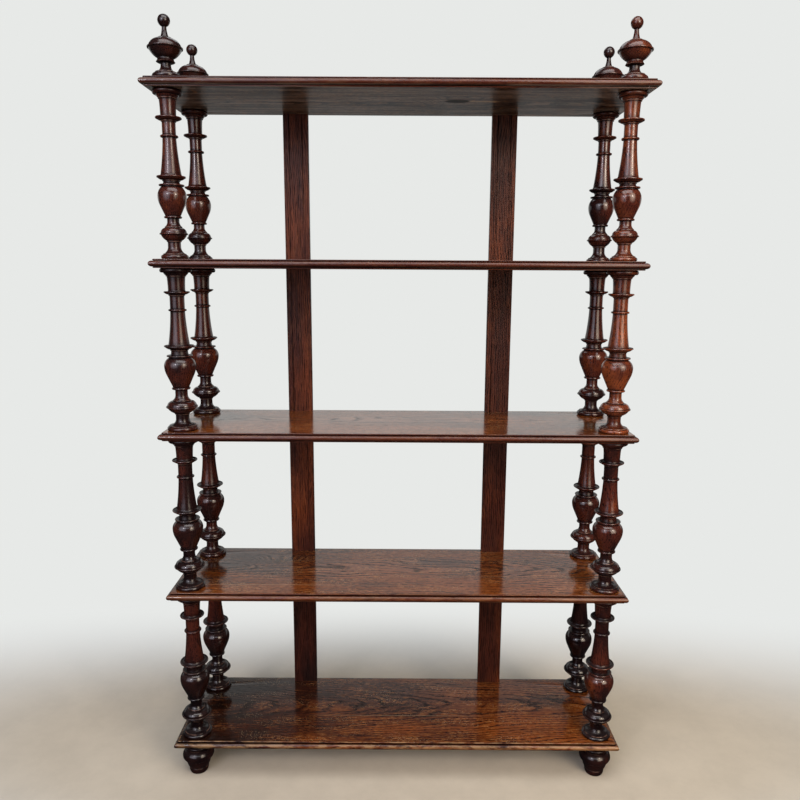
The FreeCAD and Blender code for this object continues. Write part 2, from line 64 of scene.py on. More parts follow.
class Finish:
    # one material, and the few node recipes that the finishes here are mixed from
    def __init__(self, name):
        self.material = bpy.data.materials.new(name)
        self.material.use_nodes = True
        self.tree = self.material.node_tree
        self.skin = self.tree.nodes["Principled BSDF"]

    def feed(self, socket, value):
        if isinstance(value, bpy.types.NodeSocket):
            self.tree.links.new(value, socket)
        else:
            socket.default_value = value

    def add(self, kind, inputs, **settings):
        made = self.tree.nodes.new("ShaderNode" + kind)
        for key, value in settings.items():
            setattr(made, key, value)
        for key, value in inputs.items():
            self.feed(made.inputs[key], value)
        return made

    def math(self, operation, first, second=0.0, clamp=False):
        return self.add("Math", {0: first, 1: second}, operation=operation, use_clamp=clamp).outputs[0]

    def chain(self, operation, values):
        made = values[0]
        for value in values[1:]:
            made = self.math(operation, made, value)
        return made

    def times(self, *factors):
        return self.chain("MULTIPLY", factors)

    def plus(self, *terms):
        return self.chain("ADD", terms)

    def most(self, *values):
        return self.chain("MAXIMUM", values)

    def less(self, first, second):
        return self.math("SUBTRACT", first, second)

    def vector(self, operation, first, second=(0.0, 0.0, 0.0)):
        made = self.add("VectorMath", {0: first, 1: second}, operation=operation)
        return made.outputs["Value" if operation in ("LENGTH", "DOT_PRODUCT") else "Vector"]

    def parts(self, vector):
        return self.add("SeparateXYZ", {0: vector}).outputs

    def within(self, value, low, high):
        # 0 below low, 1 above high, smooth between
        made = self.add("MapRange", {0: value, 1: low, 2: high}, interpolation_type="SMOOTHSTEP")
        return made.outputs[0]

    def scaled(self, value, start, stop, low, high):
        return self.add("MapRange", {0: value, 1: start, 2: stop, 3: low, 4: high}).outputs[0]

    def blend(self, share, first, second):
        # 6, 7 and 2 are a colour mix's own sockets
        return self.add("Mix", {0: share, 6: first, 7: second}, data_type="RGBA").outputs[2]

    def places(self, stretch, shuffle=0.0):
        # the piece's own coordinates, stretched, and shuffled so that no two pieces match
        own = self.add("TexCoord", {}).outputs["Object"]
        if shuffle:
            chance = self.add("ObjectInfo", {}).outputs["Random"]
            steps = {axis: self.times(chance, shuffle * way) for axis, way in enumerate(pieceJump)}
            own = self.vector("ADD", own, self.add("CombineXYZ", steps).outputs[0])
        return self.vector("MULTIPLY", own, stretch)

    def cloud(self, where, detail, rough):
        made = self.add("TexNoise", {"Vector": where, "Scale": 1.0, "Detail": detail, "Roughness": rough})
        return made.outputs["Fac"]

    def marked(self, name):     # a number painted on the mesh
        return self.add("Attribute", {}, attribute_name=name).outputs["Fac"]

    def spread(self, name):     # three numbers painted on the mesh
        return self.add("Attribute", {}, attribute_name=name).outputs["Vector"]

    def dress(self, colour, roughness, height, depth, **sockets):
        self.feed(self.skin.inputs["Base Color"], colour)
        self.feed(self.skin.inputs["Roughness"], roughness)
        bump = self.add("Bump", {"Height": height, "Strength": 1.0, "Distance": depth})
        self.feed(self.skin.inputs["Normal"], bump.outputs[0])
        for key, value in sockets.items():
            self.skin.inputs[key].default_value = value
        return self.material


# stained oak: growth rings, pores, pale ticks, stain and painted shade in hollows, and rubbed arrises

oakTones = {
    "deep": (0.0042, 0.0017, 0.0018),      # stain gathered in pores and hollows, and painted shade in hollows
    "dusk": (0.0175, 0.0064, 0.0044),      # the thickest stain on open wood
    "body": (0.0560, 0.0130, 0.0062),      # the stain itself
    "warm": (0.2050, 0.0500, 0.0110),      # thinner stain, towards orange
    "worn": (0.3300, 0.1850, 0.1000),      # rubbed arrises
    "tick": (0.3400, 0.1280, 0.0400),      # late wood that took little stain
    "bare": (0.1060, 0.0730, 0.0640),      # undersides that were never polished
    "plum": (0.0500, 0.0106, 0.0096),      # the even stain of polished mouldings
    "dust": (0.3600, 0.2500, 0.1700),      # specks and scratches
    "upwardGrey": (0.1000, 0.0860, 0.0660),      # a pale grey on what faces up
}

oakKinds = {
    # along: the grain's axis; heart: the rings' centre in the two other axes; lean: how it drifts along the
    # grain; grain, mottle, pores, dashes and ticks: cycles per metre along and across the grain
    "turned_oak": {
        "along": 2, "heart": (0.052, 0.021), "lean": 0.02, "ringGap": 0.0042, "wander": 0.05, "jitter": 0.5,
        "grain": (6.0, 190.0), "mottle": (7.0, 16.0), "pores": (120.0, 620.0), "dashes": (240.0, 380.0),
        "ticks": (120.0, 420.0), "ringShare": 0.10, "grainShare": 0.14, "poreShare": 0.75, "tickShare": 0.12,
        "dustShare": 0.0, "bareShare": 0.0, "warmth": 0.39, "strength": 0.9, "tint": (1.0, 0.94, 1.20),
        "broken": 0.2, "roughness": (0.15, 0.25), "relief": 0.000006, "wear": 0.33, "index": 1.5,
    },
    "shelf_oak": {
        "along": 0, "heart": (0.015, -0.075), "lean": 0.05, "ringGap": 0.0058, "wander": 0.07, "jitter": 0.6,
        "grain": (4.0, 130.0), "mottle": (3.2, 11.0), "pores": (70.0, 620.0), "dashes": (85.0, 240.0),
        "ticks": (80.0, 270.0), "ringShare": 0.70, "grainShare": 0.48, "poreShare": 0.85, "tickShare": 0.70,
        "dustShare": 0.55, "bareShare": 0.85, "warmth": 0.54, "strength": 0.90, "tint": (1.0, 1.04, 0.88),
        "broken": 0.65, "roughness": (0.09, 0.15), "relief": 0.00004, "wear": 0.9, "index": 1.47,
    },
    "batten_oak": {
        "along": 2, "heart": (0.07, 0.04), "lean": 0.03, "ringGap": 0.0046, "wander": 0.07, "jitter": 0.5,
        "grain": (3.2, 170.0), "mottle": (2.0, 9.0), "pores": (48.0, 700.0), "dashes": (30.0, 300.0),
        "ticks": (40.0, 330.0), "ringShare": 0.45, "grainShare": 0.65, "poreShare": 0.75, "tickShare": 0.20,
        "dustShare": 0.0, "bareShare": 0.0, "warmth": 0.48, "strength": 0.75, "tint": (1.0, 0.90, 0.98),
        "broken": 0.5, "roughness": (0.34, 0.48), "relief": 0.00020, "wear": 0.4, "index": 1.28,
    },
}

oakNoise = {
    # cycles per metre along and across the grain (None: by kind of oak), shuffle, detail and roughness
    "slow": ((1.7, 6.0), 7.0, 3.0, 0.55),
    "quick": ((22.0, 90.0), 3.0, 3.0, 0.60),
    "grain": (None, 3.0, 4.0, 0.62),
    "pores": (None, 11.0, 2.0, 0.50),
    "dashes": (None, 19.0, 2.0, 0.60),
    "ticks": (None, 5.0, 2.0, 0.60),
    "mottle": (None, 5.0, 4.0, 0.60),
    "scatter": ((9.0, 28.0), 13.0, 3.0, 0.60),
    "streaks": ((4.0, 105.0), 17.0, 2.0, 0.50),
    "specks": ((280.0, 280.0), 6.0, 1.0, 0.50),
    "hairlines": ((1.1, 420.0), 23.0, 0.0, 0.50),
    "rubbing": ((22.0, 60.0), 9.0, 5.0, 0.68),
    "gloss": ((11.0, 11.0), 4.0, 4.0, 0.60),
}
noiseMiddle = 0.5

oakLimits = {
    # where each thing starts and where it is full, in the value that it is read from
    "earlyStart": (0.00, 0.12),      # early wood, as a share of one growth ring
    "earlyEnd": (0.56, 0.20),
    "lateWood": (0.85, 0.15),
    "pores": (0.50, 0.64),
    "dashes": (0.53, 0.63),
    "grain": (0.45, 0.70),
    "ticks": (0.47, 0.66),
    "noTicks": (0.66, 0.40),
    "tickPatches": (0.25, 0.70),
    "tickStain": (0.20, 0.52),       # stain thin enough to show ticks
    "dusk": (-0.02, 0.20),           # the stain's tones, from thick to thin
    "body": (0.20, 0.40),
    "warm": (0.40, 0.70),
    "under": (-0.60, -0.90),         # faces that look down, and up
    "above": (0.70, 0.95),
    "streaks": (0.44, 0.56),
    "specks": (0.61, 0.68),
    "speckPatches": (0.45, 0.65),
    "hairlines": (0.80, 0.86),
    "rubbing": (0.42, 0.57),
    "upwardFaces": (0.10, 0.85),
    "upwardPatches": (0.25, 0.60),
    "knot": (0.065, 0.004),          # metres from a knot's middle: where rings bend round it, and its core
    "knotCore": (0.019, 0.014),
    "checkStart": (0.026, 0.034),    # a pale check that runs out of it, along the board and to either side
    "checkEnd": (0.105, 0.085),
    "checkHalf": (0.007, 0.003),
}

oakSurface = {
    "knotSqueeze": (0.6, 1.0, 0.0),  # a knot is longer along the board
    "knotBend": 5.0,                 # how many rings it pushes aside
    "poreFloor": 0.35,               # strength of pores outside the early wood
    "bareLevels": (0.25, 2.2),       # dark and pale streaks of bare wood
    "stainShadeDepth": 0.92,
    "glossRange": (0.3, 0.7),
    "wornDull": 0.16,                # roughness that rubbed places and places of stain and painted shade add, and undersides
    "underDull": 0.24,
    "shine": 0.5,                    # specular level of whole polish
    "underBroken": 0.75,             # share of it that is lost
    "stainShadeBroken": 0.8,
    "grainRelief": -0.5,
    "waveRelief": 0.8,
}

polish = {"plum": 0.85, "calm": 0.85, "gloss": 0.03, "mute": 0.12}     # of the shelves' moulded edges
glossAndGreyLevels = {"upwardGrey": 0.12, "gloss": 0.07}                                 # pale grey on what faces up, and gloss from old wax, where a piece has the most of them


class StainedOak(Finish):
    def __init__(self, name):
        super().__init__(name)
        self.kind = oakKinds[name]
        self.tone = {}
        for key, colour in oakTones.items():
            tinted = [self.kind["strength"] * tint * part for tint, part in zip(self.kind["tint"], colour)]
            self.tone[key] = opaque(tinted)
        self.spot = self.places(plain)
        self.own = self.parts(self.spot)
        self.facing = self.parts(self.add("NewGeometry", {}).outputs["Normal"])[2]
        self.under = self.limit("under", self.facing)
        self.scatter = self.drawn("scatter")
        self.edge = self.marked("edge")
        self.glossAndGrey = self.marked("glossAndGrey")
        self.calm = self.less(1.0, self.times(self.edge, polish["calm"]))

    def limit(self, name, value):
        return self.within(value, *oakLimits[name])

    def drawn(self, mark):
        # noise drawn out along the grain
        cycles, shuffle, detail, rough = oakNoise[mark]
        lengthwise, crosswise = cycles or self.kind[mark]
        stretch = tuple(lengthwise if axis == self.kind["along"] else crosswise for axis in range(3))
        return self.cloud(self.places(stretch, shuffle), detail, rough)

    def growRings(self):
        # rings about a heart that leans along the grain, so that flat faces show arches, and round any knot
        along, gap = self.kind["along"], self.kind["ringGap"]
        across = [axis for axis in range(3) if axis != along]
        sides = [self.less(self.own[axis], heart) for axis, heart in zip(across, self.kind["heart"])]
        sides[1] = self.plus(sides[1], self.times(self.own[along], self.kind["lean"]))
        reach = self.math("SQRT", self.plus(*[self.times(side, side) for side in sides]))
        reach = self.plus(reach, self.times(self.drawn("slow"), self.kind["wander"]))
        reach = self.plus(reach, self.times(self.drawn("quick"), gap * self.kind["jitter"]))
        knot = self.spread("knot")
        self.knotDark = self.parts(knot)[2]
        self.aside = self.vector("SUBTRACT", self.spot, knot)
        self.knotGap = self.vector("LENGTH", self.vector("MULTIPLY", self.aside, oakSurface["knotSqueeze"]))
        bend = self.times(self.limit("knot", self.knotGap), gap * oakSurface["knotBend"])
        ring = self.math("FRACT", self.math("DIVIDE", self.plus(reach, bend), gap))
        self.early = self.times(self.limit("earlyStart", ring), self.limit("earlyEnd", ring))

    def markGrain(self):
        # pores, which crowd in the early wood, and pale ticks between
        self.grain = self.drawn("grain")
        tick = self.drawn("ticks")
        pores = self.most(*[self.limit(mark, self.drawn(mark)) for mark in ("pores", "dashes")])
        self.poreMark = self.times(pores, self.plus(oakSurface["poreFloor"], self.early))
        self.earlyMark = self.times(self.early, self.limit("noTicks", tick))
        self.tickMark = self.times(self.limit("ticks", tick), self.limit("lateWood", self.early),
                                   self.limit("tickPatches", self.scatter))

    def stainAndLightWood(self):
        # the stain's strength varies over a piece and from piece to piece, with painted light and shade in
        # it
        ways = self.add("CombineXYZ", {0: self.own[0], 1: self.own[1], 2: 1.0}).outputs[0]
        fade = self.vector("DOT_PRODUCT", self.spread("fade"), ways)
        self.stainAndLight = self.plus(self.drawn("mottle"), self.kind["warmth"] - noiseMiddle, fade)
        colour = self.tone["deep"]
        for key in ("dusk", "body", "warm"):
            colour = self.blend(self.limit(key, self.stainAndLight), colour, self.tone[key])
        colour = self.blend(self.times(self.edge, polish["plum"]), colour, self.tone["plum"])
        if self.kind["bareShare"]:
            dark, pale = [opaque(self.tone["bare"][:3], level) for level in oakSurface["bareLevels"]]
            bare = self.blend(self.limit("streaks", self.drawn("streaks")), dark, pale)
            colour = self.blend(self.times(self.under, self.kind["bareShare"]), colour, bare)
        return colour

    def drawMarks(self, colour):
        darkMarks = {"ringShare": self.earlyMark, "grainShare": self.limit("grain", self.grain),
                     "poreShare": self.poreMark}
        for share, mark in darkMarks.items():
            strength = self.math("MULTIPLY", mark, self.kind[share], clamp=True)
            colour = self.blend(self.times(strength, self.calm), colour, self.tone["deep"])
        ticks = self.times(self.tickMark, self.limit("tickStain", self.stainAndLight), self.kind["tickShare"],
                           self.calm)
        colour = self.blend(ticks, colour, self.tone["tick"])
        if self.kind["dustShare"]:
            # specks and a few hairline scratches along the grain, on the side that faces up
            specks = self.times(self.limit("specks", self.drawn("specks")),
                                self.limit("speckPatches", self.scatter))
            dust = self.most(specks, self.limit("hairlines", self.drawn("hairlines")))
            dust = self.times(dust, self.limit("above", self.facing), self.kind["dustShare"])
            colour = self.blend(dust, colour, self.tone["dust"])
        return colour

    def ageWood(self, colour):
        # stain and painted shade in hollows, dark knots, a pale check underneath, rubbed arrises and a pale
        # grey on what faces up
        core = self.times(self.limit("knotCore", self.knotGap), self.knotDark)
        # painted shade with gathered stain: hollows, creases, grooves and places under a shelf or a bead go
        # towards the deep tone, as do knot cores
        self.stainAndShade = self.most(self.marked("stainAndShade"), core)
        colour = self.blend(self.times(self.stainAndShade, oakSurface["stainShadeDepth"]), colour, self.tone["deep"])
        apart = self.parts(self.aside)
        check = self.times(self.limit("checkStart", apart[0]), self.limit("checkEnd", apart[0]),
                           self.limit("checkHalf", self.math("ABSOLUTE", apart[1])), self.under,
                           self.knotDark)
        colour = self.blend(check, colour, self.tone["worn"])
        rubbed = self.times(self.marked("crest"), self.limit("rubbing", self.drawn("rubbing")))
        self.wear = self.math("MULTIPLY", rubbed, self.kind["wear"], clamp=True)
        colour = self.blend(self.wear, colour, self.tone["worn"])
        upwardGrey = self.times(self.glossAndGrey, glossAndGreyLevels["upwardGrey"], self.limit("upwardFaces", self.facing),
                          self.limit("upwardPatches", self.scatter))
        return self.blend(upwardGrey, colour, self.tone["upwardGrey"])

    def glossWood(self, colour):
        gloss = self.drawn("gloss")
        dull = self.scaled(gloss, *oakSurface["glossRange"], *self.kind["roughness"])
        dull = self.plus(dull, self.times(self.plus(self.wear, self.stainAndShade), oakSurface["wornDull"]),
                         self.times(self.under, oakSurface["underDull"]))
        dull = self.less(dull, self.times(self.glossAndGrey, glossAndGreyLevels["gloss"]))
        dull = self.math("SUBTRACT", dull, self.times(self.edge, polish["gloss"]), clamp=True)
        # open pores break the polish, and hollows and undersides have little of it
        pitted = self.most(self.poreMark, self.earlyMark)
        pitted = self.math("MULTIPLY", pitted, self.kind["broken"], clamp=True)
        broken = self.most(self.times(pitted, self.calm), self.times(self.under, oakSurface["underBroken"]),
                           self.times(self.stainAndShade, oakSurface["stainShadeBroken"]))
        shine = self.less(oakSurface["shine"], self.times(self.edge, polish["mute"]))
        self.feed(self.skin.inputs["Specular IOR Level"], self.times(shine, self.less(1.0, broken)))
        # relief from the pores up to a slow waviness
        height = self.less(self.times(self.grain, oakSurface["grainRelief"]), self.poreMark)
        height = self.plus(height, self.times(gloss, oakSurface["waveRelief"]))
        return self.dress(colour, dull, height, self.kind["relief"], IOR=self.kind["index"])


def mixOak(name):
    oak = StainedOak(name)
    oak.growRings()
    oak.markGrain()
    return oak.glossWood(oak.ageWood(oak.drawMarks(oak.stainAndLightWood())))


oaks = {name: mixOak(name) for name in oakKinds}
print("oak finishes mixed:", ", ".join(oaks))

steel = {
    "rustScale": 260.0,
    "rustDetail": 4.0,
    "rustRough": 0.6,
    "rustFrom": (0.45, 0.68),
    "bright": (0.20, 0.19, 0.175),
    "rust": (0.075, 0.036, 0.02),
    "roughness": (0.38, 0.75),
    "pits": 0.0001,
    "metal": 0.85,
}


def screwSteel():
    finish = Finish("screw_steel")
    where = finish.places([steel["rustScale"] * way for way in plain])
    rust = finish.cloud(where, steel["rustDetail"], steel["rustRough"])
    share = finish.within(rust, *steel["rustFrom"])
    colour = finish.blend(share, opaque(steel["bright"]), opaque(steel["rust"]))
    dull = finish.scaled(share, 0.0, 1.0, *steel["roughness"])
    return finish.dress(colour, dull, rust, steel["pits"], Metallic=steel["metal"])


farKnot = (9.0, 9.0, 0.0)     # for pieces without a knot; the third number is how dark a knot is


def paintFadeAndKnot(mesh, fades, knot):
    # how the stain thins at each point, per metre along x and y and all over, with the posts' painted light
    # and shade in it, and where a knot lies
    for name, values in (("fade", fades), ("knot", [knot] * len(fades))):
        layer = mesh.attributes.new(name, "FLOAT_VECTOR", "POINT")
        layer.data.foreach_set("vector", [part for value in values for part in value])


# turned pieces, from the outline that their solids hold

turning = {
    "segments": 80,
    "seamWidth": 2e-6,         # how near the seam a point of the solid lies
    "digits": 6,               # to which the seam's points are rounded, in metres
    "tiny": 1e-5,              # what counts as no distance
    "arris": 0.0007,           # softening of the corners
    "arrisShare": 0.4,         # most that it takes of a side
    "softSteps": 3,
    "cornerTurn": 0.35,        # a turn of the outline that counts as a corner, in radians
    "ringStep": 0.004,         # longest gap between two rings
    "tenon": 0.0115,           # wider than a tenon
    "overhang": 0.030,         # how far a shelf reaches out over a post
    "closed": (0.86, 0.42),    # how open a place is where painted shade and stain start, and where they are black
    "crestGain": 0.9,          # rubbing of a corner that turns out, per radian
    "stainShadeGain": 0.5,         # painted shade and stain in a corner that turns in, per radian
    "outOfRound": 0.00025,
    "swayScale": (0.8, 12),    # of its noise, round the piece and per metre of height
    "nick": 0.0007,
    "nickScale": (5.0, 160),
    "nickFrom": 0.25,          # the noise above which there is a nick
    "shake": 40,               # how far the noise moves from piece to piece
    # how thin the stain is on the foot, the four spindles and the finial of each post; these also hold
    # painted light and shade, which makes some posts and tiers lighter and others darker
    "fade": {"front_left": (-0.21, -0.17, -0.14, -0.07, 0.00, -0.24),
             "front_right": (-0.20, -0.11, -0.02, 0.20, 0.06, 0.02),
             "back_left": (-0.26, -0.10, -0.04, -0.04, -0.03, -0.26),
             "back_right": (-0.26, -0.30, -0.04, -0.01, -0.02, -0.10)},
    # in the same order, for all posts: stain added on the beads below the urn and on the shaft above it, and
    # how much gloss from old wax, and pale grey on what faces up, each piece has
    "beadStain": (0.0, 0.16, 0.11, 0.08, 0.04, 0.0),
    "shaftStain": (0.0, -0.08, -0.04, -0.02, -0.05, 0.0),
    "glossAndGrey": (0.5, 1.0, 0.35, 0.12, 0.08, 0.10),
    "beads": (0.24, 0.30),     # share of a spindle's height where the beads end and the urn starts
    "shaft": (0.42, 0.50),     # where the urn ends and the shaft starts
    "tiers": [1, 2, 3, 4],
}


def flipped(run, flip):
    return run[::-1] if flip else run


def readOutline(nodeName):
    # the outline in the half plane through the seam, as (radius, height) from the foot to the head
    low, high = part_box(nodeName)
    middle = (low + high) / 2
    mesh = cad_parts[nodeName].data
    near, digits = turning["seamWidth"], turning["digits"]
    seam = {}
    for vertex in mesh.vertices:
        out, aside = vertex.co.x - middle.x, vertex.co.y - middle.y
        if abs(aside) < near and out > -near:
            seam[vertex.index] = (round(max(out, 0.0), digits), round(vertex.co.z - low.z, digits))
    links = {spot: set() for spot in seam.values()}
    for edge in mesh.edges:
        first, second = (seam.get(index) for index in edge.vertices)
        if first is not None and second is not None and first != second:
            links[first].add(second)
            links[second].add(first)
    # walk each unbroken run
    runs = []
    left = set(links)
    while left:
        ends = [spot for spot in left if len(links[spot] & left) <= 1]
        run = [min(ends, key=lambda spot: (spot[1], spot[0]))]
        left.remove(run[0])
        while links[run[-1]] & left:
            run.append(min(links[run[-1]] & left, key=lambda spot: abs(spot[1] - run[-1][1])))
            left.remove(run[-1])
        runs.append(run)
    # join the runs, which meet at level steps: the innermost at the foot comes first
    first = min(runs, key=lambda run: min((up, out) for out, up in run))
    runs.remove(first)
    boreAlone = runs and first[0][0] == first[-1][0]
    path = list(flipped(first, boreAlone))
    while runs:
        choices = [(abs(run[end][1] - path[-1][1]), abs(run[end][0] - path[-1][0]), number, end)
                   for number, run in enumerate(runs) for end in (0, -1)]
        number, end = min(choices)[2:]
        path += flipped(runs.pop(number), end == -1)
    if path[0][0] > near:
        path.insert(0, (0.0, path[0][1]))
    if path[-1][0] > near:
        path.append((0.0, path[-1][1]))
    return path


def softened(path):
    # rounds the corners and adds rings on long stretches; each ring carries how sharply it turns outwards
    rings = [(path[0], 0.0)]
    for before, here, after in zip(path, path[1:], path[2:]):
        corner = Vector(here)
        arriving, leaving = corner - Vector(before), Vector(after) - corner
        turn = arriving.angle_signed(leaving) if arriving.length and leaving.length else 0.0
        if abs(turn) < turning["cornerTurn"]:
            rings.append((here, 0.0))
            continue
        most = turning["arrisShare"]
        cut = min(turning["arris"], arriving.length * most, leaving.length * most)
        start, stop = corner - arriving.normalized() * cut, corner + leaving.normalized() * cut
        for step in range(turning["softSteps"] + 1):
            share = step / turning["softSteps"]
            spot = start.lerp(corner, share).lerp(corner.lerp(stop, share), share)
            rings.append((tuple(spot), -turn))
    rings.append((path[-1], 0.0))
    spaced = [rings[0]]
    for here, there in zip(rings, rings[1:]):
        gap = Vector(there[0]) - Vector(here[0])
        parts = max(1, math.ceil(gap.length / turning["ringStep"]))
        for part in range(1, parts):
            spaced.append((tuple(Vector(here[0]) + gap * part / parts), 0.0))
        spaced.append(there)
    return spaced


def opennessOf(rings, covered):
    # how much of its outlook, up and down, each ring keeps clear of its neighbours and of the shelf above;
    # the less it keeps, the more painted shade it gets
    radii = np.array([spot[0] for spot, turn in rings])
    heights = np.array([spot[1] for spot, turn in rings])
    out = radii[None, :] - radii[:, None]
    up = heights[None, :] - heights[:, None]
    upright = math.pi / 2
    rise = np.arctan2(np.abs(up), np.maximum(out, turning["tiny"]))
    rise[out <= turning["tiny"]] = upright
    above = np.where(up > 0, rise, upright).min(axis=1)
    below = np.where(up < 0, rise, upright).min(axis=1)
    if covered:
        shoulder = heights[radii > turning["tenon"]].max()
        above = np.minimum(above, np.arctan2(np.maximum(shoulder - heights, 0.0), turning["overhang"]))
    return (np.sin(above) + np.sin(below)) / 2


def ramp(value, start, stop):
    return min(1.0, max(0.0, (value - start) / (stop - start)))


def turnedNoise(out, up, scale, shake):
    level, height = scale
    return noise.noise(out * level + Vector((0, 0, up * height)) + shake)


def ringFaces(rows):
    faces = []
    for lower, upper in zip(rows, rows[1:]):
        for segment in range(turning["segments"]):
            following = (segment + 1) % turning["segments"]
            corners = [lower[segment % len(lower)], lower[following % len(lower)],
                       upper[following % len(upper)], upper[segment % len(upper)]]
            face = list(dict.fromkeys(corners))
            if len(face) > 2:
                faces.append(face)
    return faces


def turnPiece(nodeName, rings, coat, seed):
    low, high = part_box(nodeName)
    middle = (low + high) / 2
    chance = random.Random(seed)
    shake = Vector([chance.uniform(-turning["shake"], turning["shake"]) for axis in range(3)])
    stainAndLight, beadStain, shaftStain, glossAndGrey = coat
    spots, rows, crests, stainShadeValues, fades = [], [], [], [], []
    for (spot, turn), openness in zip(rings, opennessOf(rings, "finial" not in nodeName)):
        crest = min(1.0, max(0.0, turn * turning["crestGain"]))
        # painted shade, with some stain, where the ring is closed in or turns inwards
        stainAndShade = ramp(openness, *turning["closed"]) + max(0.0, -turn * turning["stainShadeGain"])
        share = spot[1] / (high.z - low.z)
        added = beadStain * (1.0 - ramp(share, *turning["beads"]))
        added += shaftStain * ramp(share, *turning["shaft"])
        count = turning["segments"] if spot[0] > turning["tiny"] else 1
        row = []
        for segment in range(count):
            angle = 2 * math.pi * segment / turning["segments"]
            out = Vector((math.cos(angle), math.sin(angle), 0))
            radius = spot[0]
            if count > 1:
                sway = turnedNoise(out, spot[1], turning["swayScale"], shake)
                radius -= turning["outOfRound"] * (0.5 + 0.5 * sway)     # only ever inwards
                dent = turnedNoise(out, spot[1], turning["nickScale"], shake * 2)
                radius -= turning["nick"] * crest * max(0.0, dent - turning["nickFrom"])
            row.append(len(spots))
            spots.append(out * max(radius, 0.0) + Vector((0, 0, spot[1])))
            crests.append(crest)
            stainShadeValues.append(min(1.0, stainAndShade))
            fades.append((0.0, 0.0, stainAndLight - added))
        rows.append(row)
    mesh = bpy.data.meshes.new(nodeName + "_turned")
    mesh.from_pydata(spots, [], ringFaces(rows))
    for name, values in (("crest", crests), ("stainAndShade", stainShadeValues), ("glossAndGrey", [glossAndGrey] * len(spots))):
        mesh.attributes.new(name, "FLOAT", "POINT").data.foreach_set("value", values)
    paintFadeAndKnot(mesh, fades, farKnot)
    mesh.shade_smooth()
    mesh.materials.append(oaks["turned_oak"])
    piece = addObject(nodeName + "_turned", mesh)
    piece.location = (middle.x, middle.y, low.z)
    piece.modifiers.new("even_shading", "WEIGHTED_NORMAL")
    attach(piece, "root")
    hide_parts(nodeName)


def turnAll():
    made = 0
    outlines = {}
    for corner, stainAndLightLevels in turning["fade"].items():
        names = [("foot", f"foot_{corner}")]
        names += [("upper" if tier == turning["tiers"][-1] else "lower", f"spindle_{corner}_tier_{tier}")
                  for tier in turning["tiers"]]
        names.append(("finial", f"finial_{corner}"))
        coats = zip(stainAndLightLevels, turning["beadStain"], turning["shaftStain"], turning["glossAndGrey"])
        for (kind, nodeName), coat in zip(names, coats):
            if kind not in outlines:
                outlines[kind] = softened(readOutline(nodeName))
            made += 1
            turnPiece(nodeName, outlines[kind], coat, made)
    print("turned", made, "pieces from", {kind: len(rings) for kind, rings in outlines.items()}, "rings")


turnAll()


# shelves, with a moulding that runs mitred round the front and both ends

shelf = {
    "names": ["bottom_shelf", "lower_shelf", "middle_shelf", "upper_shelf", "top_shelf"],
    "seed": 100,
    "underStep": 0.003,
    "bead": 0.013,
    "topStep": 0.004,
    "setback": 0.008,          # of the steps behind the nose of the bead
    "arris": 0.0009,
    "arrisBend": 0.3,          # how far in its middle lies, as a share of it
    "arrisFoot": 1.6,          # where the shade of the upper step ends, likewise
    "margin": 0.004,           # a ring on the flat faces, inside the arris
    "cornerRadius": 0.0022,
    "cornerSteps": 4,
    "beadSteps": 12,
    "frontParts": 210,
    "endParts": 56,
    "hole": 0.01025,
    "holeParts": 24,
    "posts": [(-0.503, -0.101), (0.503, -0.101), (-0.503, 0.1085), (0.503, 0.1085)],
    "battens": (-0.26, 0.26),
    "notch": (0.0313, 0.016),  # half width and depth of the place for a batten
    # the height at which that ends, and whether it lies above it
    "housing": {"bottom_shelf": (0.008, True), "top_shelf": (0.012, False)},
    "weld": 1e-6,
    "same": 1e-7,              # what counts as the same place
    "digits": 6,               # to which corners are matched, in metres
    "rubAngle": 0.65,          # where the bead is rubbed most, up from level in radians
    "rubSpread": 0.4,
    "rubRound": 0.6,           # how slowly the rubbing ends towards the bead's edges
    "rubLeast": 0.2,           # how worn the bead is away from there, where beadRubAndLight doesn't say
    # these also take off some of the bead's painted shade, and on the bottom shelf they add painted light
    # bounced up from the floor onto the lower bead, as well as wear
    "beadRubAndLight": {"bottom_shelf": 0.45, "top_shelf": 0.6},
    "shadeFrom": 0.25,         # the angle from where down the bead gets painted shade
    "shadeMost": 1.1,          # how dark it gets there, less what is rubbed
    "quirk": 0.0014,           # how deep the groove behind the bead goes past the step
    "quirkFoot": -0.0002,      # heights of its foot, its head and its lip, from the bead's top
    "quirkHead": 0.0006,
    "quirkLip": 0.0010,
    "plainBack": 0.003,        # the ends of the moulding, by the back edge, stay plain
    "plainWear": 0.3,
    "dent": 0.0011,
    "knockScale": (55, 90),    # of the noise for knocks and for uneven wear, level and upright
    "knockFrom": 0.30,
    "wornScale": (9, 30),
    "wornShare": 0.16,
    "shake": 60,
    "wear": {"bottom_shelf": 0.90, "lower_shelf": 0.24, "middle_shelf": 0.10, "upper_shelf": 0.08,
             "top_shelf": 0.08},
    "fade": {"bottom_shelf": (0.36, -0.6, -0.09), "lower_shelf": (0.18, -0.45, 0.03),
             "middle_shelf": (0.0, 0.0, 0.06), "upper_shelf": (0.08, 0.0, 0.04),
             "top_shelf": (0.05, 0.0, 0.0)},
    "edgePolish": {"bottom_shelf": 0.35, "lower_shelf": 0.8, "middle_shelf": 1.0, "upper_shelf": 1.0,
                   "top_shelf": 1.0},
    "knot": {"top_shelf": (0.13, -0.011, 0.9), "lower_shelf": (-0.31, 0.06, 0.2)},
}


